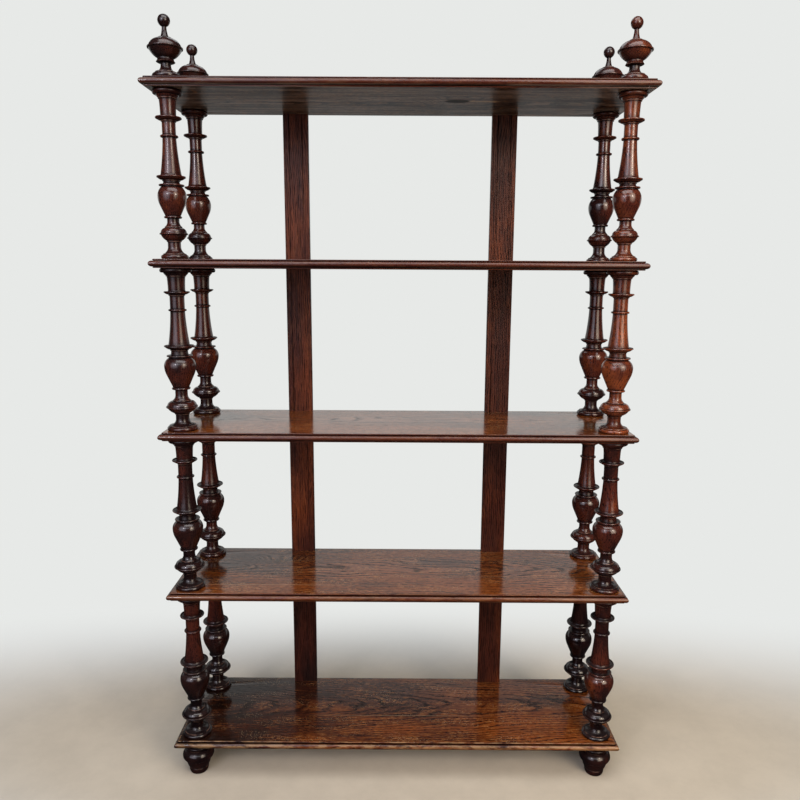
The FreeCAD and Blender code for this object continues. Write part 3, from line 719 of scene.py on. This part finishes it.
def shelfStations(low, high):
    # points round the board, anticlockwise from the back left: base, way in from the moulded sides, way in
    # from the back, and depth of a batten's notch
    radius, endParts = shelf["cornerRadius"], shelf["endParts"]
    corner = [math.pi / 2 * step / shelf["cornerSteps"] for step in range(shelf["cornerSteps"] + 1)]
    stations = []

    def add(base, inward, back=(0.0, 0.0), notch=0.0):
        stations.append((Vector(base), Vector(inward), Vector(back), notch))

    for part in range(endParts):
        share = part / endParts
        add((low.x, high.y + (low.y + radius - high.y) * share), (1.0, share), (0.0, share - 1.0))
    for angle in corner:
        add((low.x + radius * (1 - math.cos(angle)), low.y + radius * (1 - math.sin(angle))), (1.0, 1.0))
    for part in range(1, shelf["frontParts"]):
        share = part / shelf["frontParts"]
        add((low.x + radius + (high.x - low.x - 2 * radius) * share, low.y), (1.0 - 2 * share, 1.0))
    for angle in corner:
        add((high.x - radius * (1 - math.sin(angle)), low.y + radius * (1 - math.cos(angle))), (-1.0, 1.0))
    for part in range(1, endParts + 1):
        share = part / endParts
        add((high.x, low.y + radius + (high.y - low.y - radius) * share), (-1.0, 1.0 - share), (0.0, -share))
    half, depth = shelf["notch"]
    for middle in reversed(shelf["battens"]):
        for side, inner in ((half, 0.0), (half, depth), (-half, depth), (-half, 0.0)):
            add((middle + side, high.y), (0.0, 0.0), (0.0, -1.0), inner)
    return stations


def beadRow(angle, least):
    half = shelf["bead"] / 2
    rubbed = least + (1.0 - least) * math.exp(-((angle - shelf["rubAngle"]) / shelf["rubSpread"]) ** 2)
    # painted shade on the lower half of the bead, and at its top and foot beside the steps
    lowerHalf = min(1.0, max(0.0, shelf["shadeFrom"] - angle))
    shaded = max((1 - math.cos(angle)) ** 3, (shelf["shadeMost"] - least) * lowerHalf)
    return (half * (1 - math.cos(angle)), shelf["underStep"] + half * (1 + math.sin(angle)), 0.0,
            rubbed * math.cos(angle) ** shelf["rubRound"], shaded)


def shelfLevels(name):
    # the moulding from below: inset, height, inset at the back, crest, stain and painted shade, and whether
    # notches are open
    setback, arris, under, margin = shelf["setback"], shelf["arris"], shelf["underStep"], shelf["margin"]
    half, bend = shelf["bead"] / 2, arris * shelf["arrisBend"]
    ledge = under + shelf["bead"]
    top = ledge + shelf["topStep"]
    ends, openAbove = shelf["housing"].get(name, (None, True))
    least = shelf["beadRubAndLight"].get(name, shelf["rubLeast"])
    # the fifth numbers are painted shade, with some stain: on the step faces, in the groove and under the
    # bead
    rows = [(setback + margin, 0.0, margin, 0.0, 0.0),
            (setback + arris, 0.0, arris, 0.25, 0.0),
            (setback + bend, bend, bend, 0.45, 0.0),
            (setback, arris, 0.0, 0.25, 0.0),
            (setback, under - arris, 0.0, 0.0, 0.5),
            (setback, under, 0.0, 0.0, 1.0)]
    angles = [math.pi * (step / shelf["beadSteps"] - 0.5) for step in range(shelf["beadSteps"] + 1)]
    if ends is not None:
        angles = sorted(angles + [math.asin((ends - under - half) / half)])
    rows += [beadRow(angle, least) for angle in angles]
    groove = setback + shelf["quirk"]
    rows += [(groove, ledge + shelf["quirkFoot"], 0.0, 0.0, 1.0),
             (groove, ledge + shelf["quirkHead"], 0.0, 0.0, 1.0),
             (setback, ledge + shelf["quirkLip"], 0.0, 0.0, 0.9),
             (setback, top - arris * shelf["arrisFoot"], 0.0, 0.0, 0.5),
             (setback, top - arris, 0.0, 0.6, 0.2),
             (setback + bend, top - bend, bend, 1.0, 0.0),
             (setback + arris, top, arris, 0.7, 0.0),
             (setback + margin, top, margin, 0.0, 0.0)]
    levels = []
    for row in rows:
        if ends is None:
            levels.append((*row, True))
        elif abs(row[1] - ends) < shelf["same"]:
            levels += [(*row, not openAbove), (*row, openAbove)]
        else:
            levels.append((*row, (row[1] > ends) == openAbove))
    return levels


def capTriangles(loop, holes):
    # fills a loop round its holes
    spots = [Vector(spot[:2]) for ring in [loop, *holes] for spot in ring]
    edges, begin = [], 0
    for ring in [loop, *holes]:
        edges += [(begin + index, begin + (index + 1) % len(ring)) for index in range(len(ring))]
        begin += len(ring)
    filled = geometry.delaunay_2d_cdt(spots, edges, [], 0, shelf["same"])
    flat, triangles = filled[0], filled[2]
    outline = np.array([spot[:2] for spot in loop])

    def inside(spot):
        ahead = np.roll(outline, -1, axis=0)
        spans = (outline[:, 1] > spot.y) != (ahead[:, 1] > spot.y)
        rise = np.where(spans, ahead[:, 1] - outline[:, 1], 1.0)
        crossing = outline[:, 0] + (spot.y - outline[:, 1]) / rise * (ahead[:, 0] - outline[:, 0])
        return np.count_nonzero(spans & (crossing > spot.x)) % 2 == 1

    kept = []
    for triangle in triangles:
        middle = sum((flat[index] for index in triangle), Vector((0.0, 0.0))) / 3
        if inside(middle) and all((middle - Vector(post)).length > shelf["hole"] for post in shelf["posts"]):
            kept.append(triangle)
    return flat, kept


def shelfNoise(spot, up, scale, shake):
    level, height = scale
    return noise.noise(Vector((spot.x * level, spot.y * level, up * height)) + shake)


def cornerKey(x, y):
    return (round(x, shelf["digits"]), round(y, shelf["digits"]))


def wallFaces(board, lower, upper):
    for index in range(len(lower)):
        following = (index + 1) % len(lower)
        board.faces.new((lower[index], lower[following], upper[following], upper[index]))


def mouldShelf(board, name, seed):
    # the rings of the moulding, from the underside to the top
    low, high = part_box(name)
    stations, levels = shelfStations(low, high), shelfLevels(name)
    chance = random.Random(seed)
    shake = Vector([chance.uniform(-shelf["shake"], shelf["shake"]) for axis in range(3)])
    crestLayer, stainShadeLayer, edgeLayer = [board.verts.layers.float.new(layer)
                                          for layer in ("crest", "stainAndShade", "edge")]
    rings = []
    for number, (inset, up, back, crest, stainAndShade, notched) in enumerate(levels):
        edged = 0 < number < len(levels) - 1
        ring = []
        for base, inward, backward, notch in stations:
            spot = base + inward * inset + backward * back
            if notched:
                spot.y -= notch
            moulded = inward.length > 0 and abs(spot.y - high.y) > shelf["plainBack"]
            if moulded and crest:
                # knocks and a little unevenness, only ever inwards
                knock = max(0.0, shelfNoise(spot, up, shelf["knockScale"], shake) - shelf["knockFrom"])
                worn = 0.5 + 0.5 * shelfNoise(spot, up, shelf["wornScale"], -shake)
                depth = shelf["dent"] * crest * (knock + shelf["wornShare"] * worn)
                spot += inward.normalized() * depth
            vertex = board.verts.new((spot.x, spot.y, up))
            vertex[crestLayer] = crest * shelf["wear"][name] * (1.0 if moulded else shelf["plainWear"])
            vertex[stainShadeLayer] = stainAndShade if moulded else 0.0
            vertex[edgeLayer] = shelf["edgePolish"][name] if edged else 0.0
            ring.append(vertex)
        rings.append(ring)
    for lower, upper in zip(rings, rings[1:]):
        wallFaces(board, lower, upper)
    return rings


def capShelf(board, rings):
    # flat faces, with the holes for the tenons
    turns = [2 * math.pi * part / shelf["holeParts"] for part in range(shelf["holeParts"])]
    holes = [[(x + shelf["hole"] * math.cos(turn), y + shelf["hole"] * math.sin(turn)) for turn in turns]
             for x, y in shelf["posts"]]
    holeRings = []
    for ring, flip in ((rings[0], True), (rings[-1], False)):
        loop = [vertex.co for vertex in ring]
        flat, triangles = capTriangles(loop, holes)
        up = loop[0].z
        rim = {cornerKey(vertex.co.x, vertex.co.y): vertex for vertex in ring}
        corners = [rim.get(cornerKey(spot.x, spot.y)) or board.verts.new((spot.x, spot.y, up))
                   for spot in flat]
        for triangle in triangles:
            board.faces.new(flipped([corners[index] for index in triangle], flip))
        at = {cornerKey(vertex.co.x, vertex.co.y): vertex for vertex in corners}
        holeRings.append([[at[cornerKey(x, y)] for x, y in hole] for hole in holes])
    for lower, upper in zip(*holeRings):
        wallFaces(board, lower[::-1], upper[::-1])


def buildShelf(name, seed):
    board = bmesh.new()
    capShelf(board, mouldShelf(board, name, seed))
    bmesh.ops.remove_doubles(board, verts=board.verts, dist=shelf["weld"])
    bmesh.ops.dissolve_degenerate(board, edges=board.edges, dist=shelf["weld"])
    mesh = bpy.data.meshes.new(name + "_board")
    board.to_mesh(mesh)
    board.free()
    paintFadeAndKnot(mesh, [shelf["fade"][name]] * len(mesh.vertices), shelf["knot"].get(name, farKnot))
    mesh.shade_smooth()
    mesh.materials.append(oaks["shelf_oak"])
    piece = addObject(name + "_board", mesh)
    piece.location.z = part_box(name)[0].z
    piece.modifiers.new("even_shading", "WEIGHTED_NORMAL")
    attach(piece, "root")
    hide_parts(name)


for number, shelfName in enumerate(shelf["names"]):
    buildShelf(shelfName, shelf["seed"] + number)
print("shelves built:", len(shelf["names"]))


# battens and screws keep their solids, with softened arrises on the battens

batten = {
    "names": ["left_back_batten", "right_back_batten"],
    "weld": 1e-6,
    "arris": 0.0009,
    "arrisSteps": 3,
}


def recoat(mesh, material):
    mesh.materials.clear()
    mesh.materials.append(material)


def finishSolids():
    for name in batten["names"]:
        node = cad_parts[name]
        recoat(node.data, oaks["batten_oak"])
        node.modifiers.new("join_seams", "WELD").merge_threshold = batten["weld"]
        soft = node.modifiers.new("soft_arris", "BEVEL")
        soft.width = batten["arris"]
        soft.segments = batten["arrisSteps"]
        soft.limit_method = "ANGLE"
        soft.harden_normals = True
    recoat(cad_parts["batten_screws"].data, screwSteel())


finishSolids()
print("battens and screws finished")


# stage: a pale floor that sweeps up into a white backdrop, soft lamps and the camera

stage = {
    "halfWidth": 9.0,
    "front": -7.0,
    "bendStart": 2.7,
    "bend": 0.9,
    "top": 7.0,
    "bendSteps": 16,
    "floor": (0.48, 0.43, 0.345),
    "floorLevels": (0.95, 1.05),   # of its darker and paler specks
    "speckScale": 9.0,
    "speckDetail": 6.0,
    "speckRough": 0.7,
    "speckFrom": (0.3, 0.7),
    "dull": 0.7,
    "relief": 0.0004,
    "white": (0.80, 0.815, 0.80),
    "whiteFrom": 0.26,             # distance from the middle where the floor starts to turn white
    "whiteTo": 0.85,
    "whiteAlong": 0.30,            # how much slower that goes sideways
    "bandFoot": (0.4, 1.3),        # heights of the bright band that gloss shows
    "bandHead": (2.60, 2.20),
    "bandDim": 0.03,               # the white's level outside it
}


def sweepMesh():
    bend, start = stage["bend"], stage["bendStart"]
    rows = [(stage["front"], 0.0)]
    for step in range(stage["bendSteps"] + 1):
        angle = math.pi / 2 * step / stage["bendSteps"]
        rows.append((start + bend * math.sin(angle), bend * (1 - math.cos(angle))))
    rows.append((start + bend, stage["top"]))
    spots = [(side * stage["halfWidth"], back, up) for back, up in rows for side in (-1, 1)]
    faces = [(2 * row, 2 * row + 1, 2 * row + 3, 2 * row + 2) for row in range(len(rows) - 1)]
    mesh = bpy.data.meshes.new("sweep")
    mesh.from_pydata(spots, [], faces)
    mesh.shade_smooth()
    return mesh


def sweepPaper():
    finish = Finish("sweep_paper")
    height = finish.parts(finish.places(plain))[2]
    away = finish.vector("LENGTH", finish.places((stage["whiteAlong"], 1.0, 0.0)))
    white = finish.within(away, stage["whiteFrom"], stage["whiteTo"])
    where = finish.places([stage["speckScale"] * way for way in plain])
    speck = finish.cloud(where, stage["speckDetail"], stage["speckRough"])
    dark, pale = [opaque(stage["floor"], level) for level in stage["floorLevels"]]
    floor = finish.blend(finish.within(speck, *stage["speckFrom"]), dark, pale)
    colour = finish.blend(white, floor, opaque(stage["white"]))
    finish.dress(colour, stage["dull"], speck, stage["relief"])
    # the white part shows as plain white to the eye, and in gloss as a broad bright band
    path = finish.add("LightPath", {}).outputs
    eye, glossy = path["Is Camera Ray"], path["Is Glossy Ray"]
    band = finish.times(finish.within(height, *stage["bandFoot"]), finish.within(height, *stage["bandHead"]))
    dim = stage["bandDim"]
    mirrored = finish.times(glossy, finish.plus(dim, finish.times(band, 1.0 - dim)))
    level = finish.most(eye, mirrored)
    glow = finish.add("Emission", {"Color": opaque(stage["white"]), "Strength": level}).outputs[0]
    share = finish.most(finish.times(finish.most(eye, glossy), white), glossy)
    mixed = finish.add("MixShader", {0: share, 1: finish.skin.outputs[0], 2: glow}).outputs[0]
    output = next(node for node in finish.tree.nodes if node.type == "OUTPUT_MATERIAL")
    finish.feed(output.inputs["Surface"], mixed)
    return finish.material


def sweepSheet():
    mesh = sweepMesh()
    mesh.materials.append(sweepPaper())
    sheet = addObject("sweep", mesh)


sweepSheet()

lamps = {
    # name: place, aim, size, power in watts, spread in degrees, colour
    "left": ((-1.5, -1.9, 1.7), (-0.5, 0.0, 0.95), (2.2, 2.4), 13.0, 85, (0.88, 0.86, 1.0)),
    "leftSpark": ((-1.5, -2.6, 2.3), (0.0, 0.0, 0.9), (0.18, 0.35), 12.0, 180, (1.0, 0.95, 0.99)),
    "right": ((1.4, -1.7, 1.7), (0.5, 0.0, 0.95), (1.4, 2.4), 16.0, 80, (1.0, 0.83, 0.66)),
    "rightSpark": ((1.7, -2.2, 2.2), (0.0, 0.0, 0.9), (0.18, 0.40), 13.5, 180, (1.0, 0.88, 0.78)),
    "front": ((-0.3, -4.2, 3.4), (0.0, 0.0, 1.1), (4.0, 0.9), 34.0, 180, (0.88, 0.93, 1.0)),
    "top": ((0.1, -1.0, 3.5), (0.0, 0.0, 0.9), (2.8, 1.6), 66.0, 180, (1.0, 0.98, 0.98)),
    "back": ((-0.7, 2.3, 4.2), (0.0, 0.0, 0.9), (2.4, 1.6), 22.0, 180, (0.96, 0.98, 1.0)),
}
roomLevel = 0.06      # of the white that surrounds the stage, for all but the eye


def hangLamps():
    for name, (place, aim, size, power, spread, colour) in lamps.items():
        data = bpy.data.lights.new(name, "AREA")
        data.shape = "RECTANGLE"
        data.size, data.size_y = size
        data.energy = power
        data.spread = math.radians(spread)
        data.color = colour
        lamp = addObject(name, data)
        lamp.location = place
        lamp.rotation_euler = (Vector(aim) - Vector(place)).to_track_quat("-Z", "Y").to_euler()
        lamp.visible_camera = False


def lightRoom():
    world = bpy.data.worlds.new("room")
    world.use_nodes = True
    nodes, links = world.node_tree.nodes, world.node_tree.links
    path = nodes.new("ShaderNodeLightPath").outputs
    level = nodes.new("ShaderNodeMath")
    level.operation = "MAXIMUM"
    level.inputs[1].default_value = roomLevel
    links.new(path["Is Camera Ray"], level.inputs[0])
    links.new(level.outputs[0], nodes["Background"].inputs["Strength"])
    nodes["Background"].inputs["Color"].default_value = opaque(stage["white"])
    bpy.context.scene.world = world


hangLamps()
lightRoom()

camera = {
    "place": (0.00485, -1.7528, 1.2524),
    "pitch": 0.1758,          # down from level, in radians
    "yaw": 0.0007,
    "roll": 0.0056,
    "focalPixels": 722.5,     # for a picture 800 pixels wide
    "picture": 800,
    "sensor": 36.0,
}


def setCamera():
    data = bpy.data.cameras.new("camera")
    data.sensor_width = camera["sensor"]
    data.lens = camera["focalPixels"] / camera["picture"] * camera["sensor"]
    eye = addObject("camera", data)
    turn = Matrix.Rotation(camera["yaw"], 4, "Z") @ Matrix.Rotation(math.pi / 2 - camera["pitch"], 4, "X")
    eye.matrix_world = Matrix.Translation(camera["place"]) @ turn @ Matrix.Rotation(camera["roll"], 4, "Z")
    bpy.context.scene.camera = eye


setCamera()
bpy.context.scene.view_settings.view_transform = "Standard"
print("stage, lamps and camera set")
